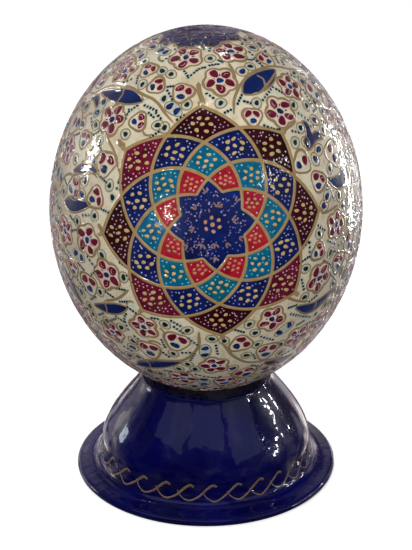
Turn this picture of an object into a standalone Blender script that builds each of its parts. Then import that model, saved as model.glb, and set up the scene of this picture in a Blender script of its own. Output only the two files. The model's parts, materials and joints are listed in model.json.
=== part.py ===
"""A painted ostrich egg standing upright in its turned, lacquered stand.

Two loose pieces: the egg, and the one-piece stand whose dished top carries it.
Both are bodies of revolution about +Z. The origin is the middle of the stand's
foot, +Z is up, and the front of the painted design faces -Y.
"""
import math

import bmesh
import bpy

MM = 0.001

# Egg: how wide and long it is, and how far its form leaves a true ellipsoid.
EGG_WIDTH = 130.0 * MM
EGG_LENGTH = 155.2 * MM
EGG_TOP_FULLNESS = 0.008
EGG_END_TAPER = 0.014

# Stand: overall sizes, and the dished seat that the egg sinks into.
STAND_HEIGHT = 44.5 * MM
FLANGE_DIAMETER = 113.6 * MM
LIP_THICKNESS = 3.5 * MM
WALL_DIAMETER = 91.2 * MM
TOP_DIAMETER = 56.8 * MM
EDGE_RADIUS = 0.8 * MM
SEAT_DEPTH = 3.0 * MM
SEAT_GAP = 0.3 * MM

# Stand: the flange sweeps up into the wall, and the wall leans in to the top.
# Each sweep is a cubic curve, and its two handles are (radius, height).
FLARE_DIAMETER = 106.6 * MM
FLARE_RISE = 0.1 * MM
FLARE_HANDLES = ((47.6 * MM, 4.0 * MM), (WALL_DIAMETER / 2, 5.6 * MM))
SHOULDER_FOOT = 13.0 * MM
SHOULDER_HANDLES = ((WALL_DIAMETER / 2, 24.0 * MM), (32.0 * MM, 37.0 * MM))

# Finish of each piece: colour, roughness.
EGG_FINISH = ((0.68, 0.60, 0.46), 0.25)
STAND_FINISH = ((0.006, 0.008, 0.065), 0.12)
SHARP_ANGLE = 40.0

# How finely the pieces are divided.
AROUND = 64
EGG_RINGS = 32
SEAT_RINGS = 6
SHOULDER_STEPS = 8
FLARE_STEPS = 6
LIP_STEPS = 6
EDGE_STEPS = 3


def egg_point(angle, clearance=0.0):
    """A point (radius, height above the egg's middle) at an angle from its waist."""
    rise = math.sin(angle)
    fullness = 1 + EGG_TOP_FULLNESS * rise - EGG_END_TAPER * rise * rise
    radius = (EGG_WIDTH / 2 + clearance) * math.cos(angle) * fullness
    return radius, (EGG_LENGTH / 2 + clearance) * rise


def sweep(start, handles, end, steps):
    """Points along a cubic curve from start towards end, without the last point."""
    corners = (start, *handles, end)
    points = []
    for step in range(steps):
        t = step / steps
        u = 1 - t
        weights = (u ** 3, 3 * u * u * t, 3 * u * t * t, t ** 3)
        points.append(tuple(sum(w * c[axis] for w, c in zip(weights, corners)) for axis in (0, 1)))
    return points


def arc(centre, radius, first, last, steps):
    """Points along an arc from one angle to another, both ends included."""
    points = []
    for step in range(steps + 1):
        angle = math.radians(first + (last - first) * step / steps)
        points.append((centre[0] + radius * math.cos(angle), centre[1] + radius * math.sin(angle)))
    return points


def egg_profile(middle):
    """The egg's outline from its bottom pole up to its top pole."""
    profile = [(0.0, middle - EGG_LENGTH / 2)]
    for ring in range(1, EGG_RINGS):
        radius, height = egg_point(math.pi * (ring / EGG_RINGS - 0.5))
        profile.append((radius, middle + height))
    profile.append((0.0, middle + EGG_LENGTH / 2))
    return profile


def seat_profile(middle):
    """The dish under the egg, from the rim of the stand's top in to the axis."""
    rim_angle = -math.asin((middle - STAND_HEIGHT) / (EGG_LENGTH / 2 + SEAT_GAP))
    points = []
    for ring in range(SEAT_RINGS):
        angle = rim_angle - (math.pi / 2 + rim_angle) * ring / SEAT_RINGS
        radius, height = egg_point(angle, SEAT_GAP)
        points.append((radius, middle + height))
    points.append((0.0, middle - EGG_LENGTH / 2 - SEAT_GAP))
    return points


def stand_profile(middle):
    """The stand's outline: foot, lip, flange, wall, shoulder, top and seat."""
    lip_radius = LIP_THICKNESS / 2
    lip = arc((FLANGE_DIAMETER / 2 - lip_radius, lip_radius), lip_radius, -90, 90, LIP_STEPS)
    flare_start = (FLARE_DIAMETER / 2, LIP_THICKNESS + FLARE_RISE)
    wall_foot = (WALL_DIAMETER / 2, SHOULDER_FOOT)
    shoulder_top = (TOP_DIAMETER / 2, STAND_HEIGHT - EDGE_RADIUS)
    flare = sweep(flare_start, FLARE_HANDLES, wall_foot, FLARE_STEPS)
    shoulder = sweep(wall_foot, SHOULDER_HANDLES, shoulder_top, SHOULDER_STEPS)
    edge = arc((TOP_DIAMETER / 2 - EDGE_RADIUS, STAND_HEIGHT - EDGE_RADIUS), EDGE_RADIUS, 0, 90, EDGE_STEPS)
    return [(0.0, 0.0)] + lip + flare + shoulder + edge + seat_profile(middle)


def lathe(name, profile):
    """Turn an outline that starts and ends on the axis into one closed solid."""
    mesh = bmesh.new()
    rings = []
    turns = [2 * math.pi * k / AROUND for k in range(AROUND)]
    for radius, height in profile:
        if radius == 0.0:
            rings.append([mesh.verts.new((0.0, 0.0, height))])
        else:
            rings.append([mesh.verts.new((radius * math.cos(a), radius * math.sin(a), height)) for a in turns])
    for lower, upper in zip(rings, rings[1:]):
        for k in range(AROUND):
            after = (k + 1) % AROUND
            if len(lower) == 1:
                mesh.faces.new((lower[0], upper[after], upper[k]))
            elif len(upper) == 1:
                mesh.faces.new((lower[k], lower[after], upper[0]))
            else:
                mesh.faces.new((lower[k], lower[after], upper[after], upper[k]))
    bmesh.ops.recalc_face_normals(mesh, faces=mesh.faces)
    data = bpy.data.meshes.new(name)
    mesh.to_mesh(data)
    mesh.free()
    solid = bpy.data.objects.new(name, data)
    bpy.context.scene.collection.objects.link(solid)
    return solid


def finish(solid, colour, roughness):
    """Give a solid its own plain varnished material and smooth shading."""
    material = bpy.data.materials.new(solid.name + "_finish")
    material.use_nodes = True
    shader = material.node_tree.nodes["Principled BSDF"]
    shader.inputs["Base Color"].default_value = (*colour, 1.0)
    shader.inputs["Roughness"].default_value = roughness
    shader.inputs["Metallic"].default_value = 0.0
    solid.data.materials.append(material)
    solid.data.shade_smooth()
    solid.data.set_sharp_from_angle(angle=math.radians(SHARP_ANGLE))


def main():
    for old in list(bpy.data.objects):
        bpy.data.objects.remove(old, do_unlink=True)
    middle = STAND_HEIGHT - SEAT_DEPTH + EGG_LENGTH / 2
    egg = lathe("egg_shell", egg_profile(middle))
    finish(egg, *EGG_FINISH)
    stand = lathe("stand", stand_profile(middle))
    finish(stand, *STAND_FINISH)


main()
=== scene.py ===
"""Looks of the painted ostrich egg and its lacquered stand.

The egg is painted in raised enamel: each colour is one thin coat of its own, laid on a fine
shell. A painted place is given as (azimuth, height) in degrees. Azimuth 0 is the middle of
the front and grows towards +X. Height is the angle above the egg's waist, 90 at its top.
Lengths on the surface are in millimetres. The back repeats the front, turned half way round.
"""

import json
from math import asin, atan2, cos, degrees, hypot, pi, radians, sin, sqrt
import random

import bpy
import numpy as np
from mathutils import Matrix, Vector

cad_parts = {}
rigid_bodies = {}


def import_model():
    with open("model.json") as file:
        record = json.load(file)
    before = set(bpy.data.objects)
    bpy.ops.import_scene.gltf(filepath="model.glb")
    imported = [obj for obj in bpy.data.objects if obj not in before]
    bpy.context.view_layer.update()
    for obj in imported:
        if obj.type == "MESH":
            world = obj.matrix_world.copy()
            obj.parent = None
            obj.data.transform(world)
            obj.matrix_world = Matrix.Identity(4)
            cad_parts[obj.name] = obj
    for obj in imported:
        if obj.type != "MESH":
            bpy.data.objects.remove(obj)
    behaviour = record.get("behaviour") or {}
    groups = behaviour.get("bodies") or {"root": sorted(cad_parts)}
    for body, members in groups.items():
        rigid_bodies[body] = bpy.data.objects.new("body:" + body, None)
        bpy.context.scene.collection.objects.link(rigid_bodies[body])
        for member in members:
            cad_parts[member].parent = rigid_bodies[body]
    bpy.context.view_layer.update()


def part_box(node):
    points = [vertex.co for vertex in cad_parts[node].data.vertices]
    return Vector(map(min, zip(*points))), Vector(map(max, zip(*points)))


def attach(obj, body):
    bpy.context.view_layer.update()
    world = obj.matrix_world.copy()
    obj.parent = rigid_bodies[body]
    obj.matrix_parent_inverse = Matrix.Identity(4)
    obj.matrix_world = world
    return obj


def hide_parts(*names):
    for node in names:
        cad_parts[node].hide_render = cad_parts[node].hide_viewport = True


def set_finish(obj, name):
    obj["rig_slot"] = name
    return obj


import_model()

MM = 0.001
chance = random.Random(11)
vary = chance.uniform

# ---- sizes: overall ones from the frame, the rest as the CAD has them
EGG_LOW, EGG_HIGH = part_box("egg_shell")
EGG_HALF_WIDTH = (EGG_HIGH.x - EGG_LOW.x) / 2
EGG_HALF_LENGTH = (EGG_HIGH.z - EGG_LOW.z) / 2
EGG_MIDDLE = (EGG_HIGH.z + EGG_LOW.z) / 2
EGG_TOP_FULLNESS = 0.008
EGG_END_TAPER = 0.014
MEAN_RADIUS = 70.0    # of the egg, in millimetres

STAND_LOW, STAND_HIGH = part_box("stand")
FLANGE_RADIUS = (STAND_HIGH.x - STAND_LOW.x) / 2
STAND_HEIGHT = STAND_HIGH.z
LIP_THICKNESS = 3.5 * MM
FLARE_RADIUS = 53.3 * MM
FLARE_RISE = 0.1 * MM
WALL_RADIUS = 45.6 * MM
WALL_FOOT = 13.0 * MM
TOP_RADIUS = 28.4 * MM
EDGE_RADIUS = 0.8 * MM
SEAT_GAP = 0.3 * MM
# The handles of the flare's and the shoulder's cubic curves, as (radius, height).
FLARE_HANDLES = ((47.6 * MM, 4.0 * MM), (WALL_RADIUS, 5.6 * MM))
SHOULDER_HANDLES = ((WALL_RADIUS, 24.0 * MM), (32.0 * MM, 37.0 * MM))

# ---- colours (sRGB, 0 to 255)
IVORY = (222, 211, 186)
IVORY_SHADE = (206, 190, 156)
IVORY_PALE = (228, 220, 198)
PALE_GREEN = (206, 214, 192)
IVORY_STAIN = (176, 152, 110)
KHAKI = (145, 125, 90)
KHAKI_SHADE = (146, 122, 80)
COBALT = (6, 9, 100)
COBALT_DEEP = (4, 6, 76)
COBALT_WORN = (12, 15, 110)

# Each enamel: its coat's thickness in millimetres, its material, its full colour, its darker
# shade (a colour, or a share of the full one), and how many millimetres its mottling is wide.
# Then, where it has them, a second full colour that it wanders to, and how deep its brush
# marks are. Coats are built in this order. Umber is the top medallion's dusky violet.
ENAMELS = {
    "halo": (0.06, "pale_halo", (198, 200, 184), (168, 178, 164), 1.8),
    "night": (0.10, "night_blue", (7, 12, 76), (4, 6, 44), 2.4, (20, 12, 66)),
    "umber": (0.18, "umber_line", (74, 70, 108), (44, 42, 80), 1.6),
    "maroon": (0.10, "maroon", (40, 4, 7), 0.62, 5.0, (70, 8, 26)),
    "plum": (0.10, "plum", (120, 14, 48), 0.5, 4.0),
    "crimson": (0.12, "crimson", (110, 12, 36), 0.66, 1.6),
    "wine": (0.12, "wine", (112, 26, 48), (70, 12, 30), 1.6),
    "red": (0.10, "red", (168, 18, 36), 0.7, 3.0, (186, 30, 48)),
    "blue": (0.10, "ultramarine", (4, 9, 62), 0.5, 4.5, (13, 40, 118)),
    "star_blue": (0.10, "star_blue", (3, 10, 66), (2, 5, 34), 3.0, (10, 42, 124)),
    "leaf_blue": (0.12, "leaf_blue", (9, 20, 90), 0.5, 3.0, (18, 52, 118)),
    "turquoise": (0.10, "turquoise", (4, 104, 124), 0.72, 4.0, (0, 108, 156)),
    "bright_blue": (0.19, "bright_blue", (30, 76, 176), (16, 44, 140), 2.0),
    "ink_blue": (0.16, "ink_blue", (12, 36, 100), 0.5, 1.4),
    "navy": (0.16, "navy", (20, 26, 66), (8, 12, 44), 1.4),
    "ink_green": (0.16, "dark_green", (10, 38, 30), 0.45, 1.2),
    "khaki": (0.18, "khaki_line", KHAKI, KHAKI_SHADE, 2.0),
    "band": (0.24, "khaki_band", KHAKI, KHAKI_SHADE, 2.0),
    "gold": (0.20, "gold_line", (166, 141, 98), (150, 122, 74), 2.6, None, 0.03),
    "pink": (0.20, "pink_line", (226, 192, 188), (206, 150, 154), 1.4),
    "sky": (0.22, "sky_line", (150, 190, 214), (112, 156, 190), 1.4),
    "pale": (0.20, "pale_dot", (206, 190, 196), (184, 172, 196), 1.0),
    "violet": (0.20, "violet_dot", (120, 112, 168), (84, 78, 140), 1.0),
    "lilac": (0.20, "lilac_dot", (178, 176, 214), (140, 136, 190), 1.0),
    "mint": (0.20, "mint_dot", (142, 204, 206), (86, 172, 180), 1.0),
    "sand": (0.22, "sand_dot", (206, 180, 122), (174, 146, 92), 1.2),
    "bronze": (0.22, "bronze_sprig", (150, 120, 112), (110, 86, 96), 1.2),
    "bronze_light": (0.22, "rosy_dot", (200, 152, 120), (166, 116, 92), 1.2),
}
SCROLL_GOLD = (166, 140, 110)
SCROLL_SHADE = (122, 100, 80)


def linear(colour):
    """The linear value of an sRGB colour."""
    return tuple((c / 255 / 12.92) if c < 11 else ((c / 255 + 0.055) / 1.055) ** 2.4 for c in colour)


# ---- the egg's surface
def direction(azimuth, height):
    """Unit directions, in the egg's round space, of places given in degrees."""
    a, h = np.radians(azimuth), np.radians(height)
    return np.stack([np.cos(h) * np.sin(a), -np.cos(h) * np.cos(a), np.sin(h)], axis=-1)


def fullness(rise):
    """How much wider the egg is than an ellipsoid, where the sine of the height is rise."""
    return 1 + EGG_TOP_FULLNESS * rise - EGG_END_TAPER * rise * rise


def unit(vectors):
    return vectors / np.linalg.norm(vectors, axis=1, keepdims=True)


def on_egg(directions):
    """Points on the egg's surface and its outward normals there."""
    scale = np.array([EGG_HALF_WIDTH, EGG_HALF_WIDTH, EGG_HALF_LENGTH])
    points = directions * scale
    points[:, :2] *= fullness(directions[:, 2:3])
    points[:, 2] += EGG_MIDDLE
    return points, unit(directions / scale)


class Spot:
    """Flat coordinates around a place on the egg: x to the right, y up, in millimetres.

    turn is anticlockwise in degrees. stretch makes what is drawn taller, and half as much
    narrower."""

    def __init__(self, azimuth, height, turn=0.0, size=1.0, stretch=0.0):
        a, h = radians(azimuth), radians(height)
        self.out = direction(azimuth, height)
        self.east = np.array([cos(a), sin(a), 0.0]) / EGG_HALF_WIDTH
        north = np.array([-sin(h) * sin(a), sin(h) * cos(a), cos(h)])
        self.north = north / hypot(EGG_HALF_WIDTH * sin(h), EGG_HALF_LENGTH * cos(h))
        t = radians(turn)
        turned_axes = np.array([[cos(t), sin(t)], [-sin(t), cos(t)]])
        self.turned = turned_axes * size * np.array([1 - stretch / 2, 1 + stretch])

    def directions(self, xy):
        xy = np.asarray(xy, float) @ self.turned * MM
        step = xy[:, :1] * self.east + xy[:, 1:] * self.north
        angle = np.linalg.norm(step, axis=1, keepdims=True)
        return np.cos(angle) * self.out + np.sinc(angle / np.pi) * step

    def surface(self, xy):
        return on_egg(self.directions(xy))


# ---- coats of paint
def show(name, points, faces, material):
    """A new smooth mesh in the scene."""
    mesh = bpy.data.meshes.new(name)
    mesh.from_pydata(points, [], faces)
    mesh.shade_smooth()
    mesh.materials.append(material)
    thing = bpy.data.objects.new(name, mesh)
    bpy.context.scene.collection.objects.link(thing)
    return thing


# A coat's edges sink this far into the shell. A dot is level out to the first of its rings. A
# line's section is (share of its width, share of its thickness), from edge to edge.
EDGE_SINK = 0.02 * MM
DOT_RINGS = (0.7, 1.0)
LINE_SECTION = ((-0.5, -0.03), (-0.3, 0.75), (0.0, 1.0), (0.3, 0.75), (0.5, -0.03))


class Coat:
    """One colour of paint: a mesh that gathers every shape laid in that colour."""

    def __init__(self, name, thickness):
        self.name = name
        self.thickness = thickness * MM
        self.points, self.faces, self.count = [], [], 0

    def add(self, points, faces):
        self.points.append(points)
        self.faces.append(np.asarray(faces) + self.count)
        self.count += len(points)

    def blob(self, spot, outline, rings=(0.55, 0.9, 1.0)):
        """A filled shape, rounded down to the surface at its edge."""
        outline = np.asarray(outline, float)
        middle, n = outline.mean(axis=0), len(outline)
        flat = np.concatenate([[middle]] + [middle + (outline - middle) * r for r in rings])
        lift = np.full(len(flat), self.thickness)
        lift[-n:] = -EDGE_SINK
        points, normals = spot.surface(flat)
        faces = [(0, 1 + k, 1 + (k + 1) % n, 1 + (k + 1) % n) for k in range(n)]
        for ring in range(len(rings) - 1):
            a, b = 1 + ring * n, 1 + (ring + 1) * n
            faces += [(a + k, b + k, b + (k + 1) % n, a + (k + 1) % n) for k in range(n)]
        self.add(points + normals * lift[:, None], faces)

    def grid(self, points, normals, rows, columns):
        """A sheet over a grid of surface points, rounded down at its edge."""
        lift = np.full((rows, columns), self.thickness)
        lift[0, :] = lift[-1, :] = lift[:, 0] = lift[:, -1] = -EDGE_SINK
        faces = [(r * columns + c, r * columns + c + 1, (r + 1) * columns + c + 1, (r + 1) * columns + c)
                 for r in range(rows - 1) for c in range(columns - 1)]
        self.add(points + normals * lift.reshape(-1, 1), faces)

    def line(self, points, normals, widths, closed=False):
        """A brushed line along surface points, highest along its middle."""
        n = len(points)
        if closed:
            along = np.roll(points, -1, axis=0) - np.roll(points, 1, axis=0)
        else:
            along = np.gradient(points, axis=0)
        side = np.cross(normals, along)
        side /= np.linalg.norm(side, axis=1, keepdims=True) + 1e-12
        widths = np.broadcast_to(widths, n)[:, None] * MM
        sheets = []
        for across, lift in LINE_SECTION:
            fall = (across * widths) ** 2 / (2 * EGG_HALF_WIDTH)
            sheets.append(points + side * across * widths + normals * (lift * self.thickness - fall))
        stacked = np.stack(sheets, axis=1).reshape(-1, 3)
        last = n if closed else n - 1
        faces = [(5 * k + c + 1, 5 * k + c, 5 * ((k + 1) % n) + c, 5 * ((k + 1) % n) + c + 1)
                 for k in range(last) for c in range(4)]
        self.add(stacked, faces)

    def path(self, spot, xy, width, closed=False):
        """A brushed line given in a spot's flat coordinates."""
        points, normals = spot.surface(xy)
        self.line(points, normals, width, closed)

    def dot(self, spot, x, y, radius, sides=8):
        self.blob(spot, np.array([x, y]) + ellipse(radius, radius, sides), DOT_RINGS)

    def build(self, material, slot="painted_shell"):
        """Make one piece of the whole coat."""
        quads = np.concatenate(self.faces)
        faces = [tuple(q) if q[2] != q[3] else tuple(q[:3]) for q in quads.tolist()]
        piece = show(self.name, np.concatenate(self.points).tolist(), faces, material)
        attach(piece, "root")
        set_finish(piece, slot)


# ---- flat outlines
def polar(reach, angle):
    """A point, or many, at an angle in radians round the middle."""
    return np.stack([reach * np.cos(angle), reach * np.sin(angle)], axis=-1)


def turns(sides):
    """Evenly spaced angles once round, in radians."""
    return np.linspace(0, 2 * np.pi, sides, endpoint=False)


def ellipse(rx, ry, sides, turn=0.0, wobble=0.0):
    """Points round an ellipse, with a slight unevenness of hand."""
    a = turns(sides)
    r = 1 + wobble * np.sin(2 * a + vary(0, 6)) + wobble * np.sin(3 * a + vary(0, 6))
    x, y = rx * r * np.cos(a), ry * r * np.sin(a)
    t = radians(turn)
    return np.stack([x * cos(t) - y * sin(t), x * sin(t) + y * cos(t)], axis=-1)


def blend(a, b, c, d, t):
    """From b to c as t goes from 0 to 1, on a smooth curve that also passes a and d."""
    return 0.5 * (2 * b + (c - a) * t + (2 * a - 5 * b + 4 * c - d) * t ** 2
                  + (3 * b - a - 3 * c + d) * t ** 3)


def curve(points, spacing):
    """A smooth curve through points, with one point about every spacing."""
    p = np.asarray(points, float)
    ends = np.vstack([2 * p[0] - p[1], p, 2 * p[-1] - p[-2]])
    out = []
    for k in range(len(p) - 1):
        a, b, c, d = ends[k:k + 4]
        steps = max(2, int(np.ceil(np.linalg.norm(c - b) / spacing)))
        t = np.linspace(0, 1, steps, endpoint=False)[:, None]
        out.append(blend(a, b, c, d, t))
    return np.vstack(out + [p[-1:]])


def taper(n, width, start, end):
    """Line widths that thin out to a share, start or end, at either end."""
    t = np.linspace(0, 1, n)
    swell = np.minimum(1, np.minimum(start + t * 6, end + (1 - t) * 6))
    return width * np.clip(swell, 0.2, 1)


coats = {name: Coat("paint_" + name, traits[0]) for name, traits in ENAMELS.items()}


# ---- places already painted
class Claims:
    """Remembers how much room each painted thing takes, so that fillers find bare places."""

    MOST = 9000

    def __init__(self):
        self.outs = np.zeros((self.MOST, 3))
        self.radii = np.zeros(self.MOST)
        self.count = 0

    def add(self, out, radius):
        self.outs[self.count] = out
        self.radii[self.count] = radius
        self.count += 1

    def room(self, out):
        """Millimetres from a direction to the nearest painted thing."""
        away = np.arccos(np.clip(self.outs[:self.count] @ out, -1, 1)) * MEAN_RADIUS
        return float(np.min(away - self.radii[:self.count]))


claims = Claims()


# ---- rosettes
# Where each one is, in degrees, and how far from its middle the arcs cross, in millimetres.
# The big one is turned a little, and is drawn slightly taller than wide.
ROSETTE_PLACE = (2.3, 13.9)
ROSETTE_RADII = (13.0, 17.6, 24.3, 31.5, 39.0, 46.8)
ROSETTE_TURN = 5.2
ROSETTE_STRETCH = 0.035
# Each ring of its cells: colour, large dots, fine dots, the size and reach of the large ones,
# and how many rows the fine ones have.
ROSETTE_CELLS = (
    ("red", "bronze_light", "pale", 0.74, 1.95, 3), ("turquoise", "sand", "mint", 0.92, 2.75, 5),
    ("blue", "sand", "lilac", 1.05, 3.1, 6), ("maroon", "sand", "pale", 1.08, 3.35, 7))
PLUM_CELLS = (1, 3, 5)    # the ones of the outer ring that are plum instead
MEDALLION_PLACE = (-90, 87.8)
MEDALLION_RADII = (4.8, 7.5, 11.2, 14.8, 18.0)


class Lattice:
    """Arcs that cross round a middle and leave rings of cells between them.

    u follows one family of arcs and v the other, so u + v counts the rings crossed. A cell
    is named by its base, the angle of its middle, and by the ring of its inner corner."""

    def __init__(self, spot, radii, petals):
        self.spot = spot
        self.petals = petals
        self.step = 180 / petals
        self.rings = len(radii) - 1
        self.radii = np.array((radii[0] - 2.6, *radii, 2 * radii[-1] - radii[-2]))

    def flat(self, base, u, v):
        t = np.asarray(u + v, float)
        k = np.clip(np.floor(t).astype(int), 0, self.rings - 1)
        radius = blend(*(self.radii[k + step] for step in range(4)), t - k)
        return polar(radius, np.radians(base + self.step * (u - v) + 90))

    def place(self, base, ring, u, v):
        """A place inside a cell: u and v go from 0 to 1 across it."""
        return self.flat(base, np.array([ring / 2 + u]), np.array([ring / 2 + v]))[0]

    def star(self, coat):
        """The star inside the first ring of cells."""
        u = np.linspace(0, 1, 7)[:-1]
        sides = []
        for k in range(self.petals):
            base = (2 * k + 1) * self.step
            sides.append(self.flat(base, 0 * u, 1 - u))
            sides.append(self.flat(base, u, 0 * u))
        rings = (0.12, 0.25, 0.38, 0.5, 0.62, 0.75, 0.88, 1.0)
        coats[coat].blob(self.spot, np.vstack(sides), rings)

    def cell(self, coat, base, ring):
        """One cell, filled with a colour."""
        side = np.linspace(0, 1, 9 + 2 * ring)
        u, v = np.meshgrid(side, side, indexing="ij")
        flat = self.flat(base, u.ravel() + ring / 2, v.ravel() + ring / 2)
        points, normals = self.spot.surface(flat)
        coats[coat].grid(points, normals, len(side), len(side))

    def dots(self, base, ring, big, small, size, spread, fine):
        """Seven large dots in the middle of a cell, and rows of fine ones round them."""
        middle = self.place(base, ring, 0.5, 0.5)
        placed = [middle]
        turn = base + vary(-15, 15)
        for k in range(6):
            a = radians(turn + 60 * k + vary(-9, 9))
            placed.append(middle + spread * vary(0.88, 1.12) * np.array([1.15 * cos(a), 0.9 * sin(a)]))
        for x, y in placed:
            rx, ry = size * vary(1.0, 1.3), size * vary(0.7, 0.9)
            coats[big].blob(self.spot, ellipse(rx, ry, 10, vary(-35, 35), 0.07) + (x, y), DOT_RINGS)
        for i in range(fine):
            for j in range(fine):
                u = 0.09 + 0.82 * (i + vary(0.2, 0.8)) / fine
                v = 0.09 + 0.82 * (j + vary(0.2, 0.8)) / fine
                x, y = self.place(base, ring, u, v)
                if min(hypot(x - a, y - b) for a, b in placed) > size + 0.65:
                    coats[small].dot(self.spot, x, y, vary(0.30, 0.50), 7)

    def lines(self, coat, inner, outer):
        """The arcs, each from the star to the rim, and how wide they are at either end."""
        t = np.linspace(0, self.rings, 12 * self.rings + 1)
        widths = np.interp(t, (0, 1, 2), (inner, (inner + outer) / 2, outer))
        for k in range(self.petals):
            base = (2 * k + 1) * self.step
            coats[coat].path(self.spot, self.flat(base, t, 0 * t), widths)
            coats[coat].path(self.spot, self.flat(base, 0 * t, t), widths)


def sprig(spot, x, y, turn, leaves):
    """Little brushed leaves that spread from one point."""
    for k in range(leaves):
        lean = turn + 42 * (k - (leaves - 1) / 2)
        shape = ellipse(1.35, 0.48, 9, lean, 0.06)
        middle = (x, y) + polar(1.5, radians(lean))
        coats["bronze"].blob(spot, shape + middle, rings=(0.6, 1.0))


def big_rosette(azimuth, height):
    """The medallion of the front: a dark blue star inside four rings of cells."""
    spot = Spot(azimuth, height, ROSETTE_TURN, stretch=ROSETTE_STRETCH)
    claims.add(spot.out, 40.0)
    net = Lattice(spot, ROSETTE_RADII, 8)
    net.star("star_blue")
    for k in range(net.petals):
        for ring, (colour, *dots) in enumerate(ROSETTE_CELLS):
            base = (2 * k + (ring + 1) % 2) * net.step
            net.cell("plum" if ring == 3 and k in PLUM_CELLS else colour, base, ring)
            net.dots(base, ring, *dots)
        tip = polar(1.0, radians(2 * k * net.step + 90))
        claims.add(spot.directions([tip * 34.0])[0], 11.0)
        claims.add(spot.directions([tip * 43.0])[0], 6.5)
        spur = curve([tip * 46.0, tip * 49.2 + (vary(-0.6, 0.6), 0)], 0.5)
        coats["gold"].path(spot, spur, taper(len(spur), 2.0, 1.0, 0.2))
    net.lines("gold", 1.1, 1.55)
    star_ornament(spot)


# Each sprig on the star: where it is, in millimetres from the middle, which way it points, in
# degrees, and how many leaves it has.
STAR_SPRIGS = (
    (2.6, 6.2, 80, 3), (7.6, 1.4, 10, 3), (-7.0, -1.2, 150, 2), (-4.4, -6.2, 250, 3),
    (0.2, -6.4, 270, 3), (4.6, -6.6, 300, 2), (-0.4, -11.6, 280, 2), (-1.2, 12.0, 100, 2),
    (-5.6, 6.4, 120, 2), (9.4, -5.4, 320, 2), (-10.2, -6.0, 210, 2), (9.6, 7.6, 40, 2))
STAR_DOTS = 260    # fine dots that are tried; those that would leave the star are skipped


def star_ornament(spot):
    """A rose of seven dots, sprigs, and scattered fine dots on the dark star."""
    coats["bronze_light"].dot(spot, 0, 0.4, 1.0, 10)
    for k in range(6):
        a = radians(60 * k + 32)
        oval = ellipse(0.98, 0.78, 10, 40 * k, 0.05)
        coats["bronze_light"].blob(spot, oval + (3.0 * cos(a), 0.4 + 2.6 * sin(a)), DOT_RINGS)
    for x, y, turn, leaves in STAR_SPRIGS:
        sprig(spot, x, y, turn + vary(-15, 15), leaves)
    for _ in range(STAR_DOTS):
        a, r = vary(0, 360), 15.2 * sqrt(vary(0.12, 1.0))
        wedge = abs(a % 45 - 22.5) / 22.5
        if 4.6 < r < 11.4 + 3.6 * wedge:
            y, x = polar(r, radians(a))
            coats[chance.choice(("lilac", "violet", "bronze"))].dot(spot, x, y, vary(0.28, 0.46), 7)


def top_medallion():
    """The small dark medallion at the egg's top, a little left of the middle."""
    spot = Spot(*MEDALLION_PLACE)
    claims.add(spot.out, 15.0)
    net = Lattice(spot, MEDALLION_RADII, 8)
    net.star("night")
    for k in range(net.petals):
        odd, even = (2 * k + 1) * net.step, 2 * k * net.step
        net.cell("maroon", odd, 0)
        net.dots(odd, 0, "umber", "bronze", 0.36, 1.2, 2)
        net.cell("night", even, 1)
        net.cell("night", odd, 2)
        for ring, base in ((1, even), (2, odd)):
            for stroke in range(5 + ring):
                t = 0.14 + 0.13 * stroke
                ends = [net.place(base, ring, t, t + 0.2), net.place(base, ring, t + 0.08, t),
                        net.place(base, ring, t + 0.2, t - 0.12)]
                coats["umber"].path(spot, curve(ends, 0.4), 0.26)
            net.dots(base, ring, "umber", "bronze", 0.36, 1.4, 3)
        for u, v in ((np.linspace(1, 2, 9), 2 + np.zeros(9)), (2 + np.zeros(9), np.linspace(1, 2, 9))):
            coats["khaki"].path(spot, net.flat(odd, u, v), 0.9)
    net.lines("umber", 0.45, 0.6)


# ---- flowers, buds and seeds
def rim(spot, shape, width):
    """A closed khaki outline."""
    coats["khaki"].path(spot, shape, width, closed=True)


def petal(spot, x, y, rx, ry, turn):
    """A crimson petal, partly rimmed in pink-white, often with a pale brush stroke in it."""
    shape = ellipse(rx, ry, 14, turn, 0.07)
    coats[chance.choice(("crimson", "crimson", "wine"))].blob(spot, shape + (x, y))
    first = chance.randrange(14)
    part = np.roll(shape, first, axis=0)[:chance.randint(8, 14)] * 1.07 + (x, y)
    coats["pink"].path(spot, curve(part, 0.6), 0.46)
    if chance.random() < 0.5:
        half = polar(1.0, radians(turn + vary(-40, 40))) * rx * 0.55
        bow = np.array([-half[1], half[0]]) * 0.5
        line = curve([(x, y) - half, (x, y) + bow, (x, y) + half], 0.35)
        coats["pink"].path(spot, line, taper(len(line), 0.3, 0.4, 0.4))


def eye(spot, x, y, rx, ry, turn):
    """A blue drop with a pale brushed rim and a light stroke."""
    shape = ellipse(rx, ry, 14, turn, 0.07)
    coats[chance.choice(("ink_blue", "ink_blue", "navy"))].blob(spot, shape + (x, y))
    part = np.roll(shape, chance.randrange(14), axis=0)[:chance.randint(6, 11)]
    coats["sky"].path(spot, curve(part * 0.86 + (x, y), 0.5), 0.3)
    half = polar(1.0, radians(turn + vary(-30, 30))) * rx * 0.5
    line = curve([(x, y) - half, (x, y) + half], 0.3)
    coats["bright_blue"].path(spot, line, 0.6)


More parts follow.
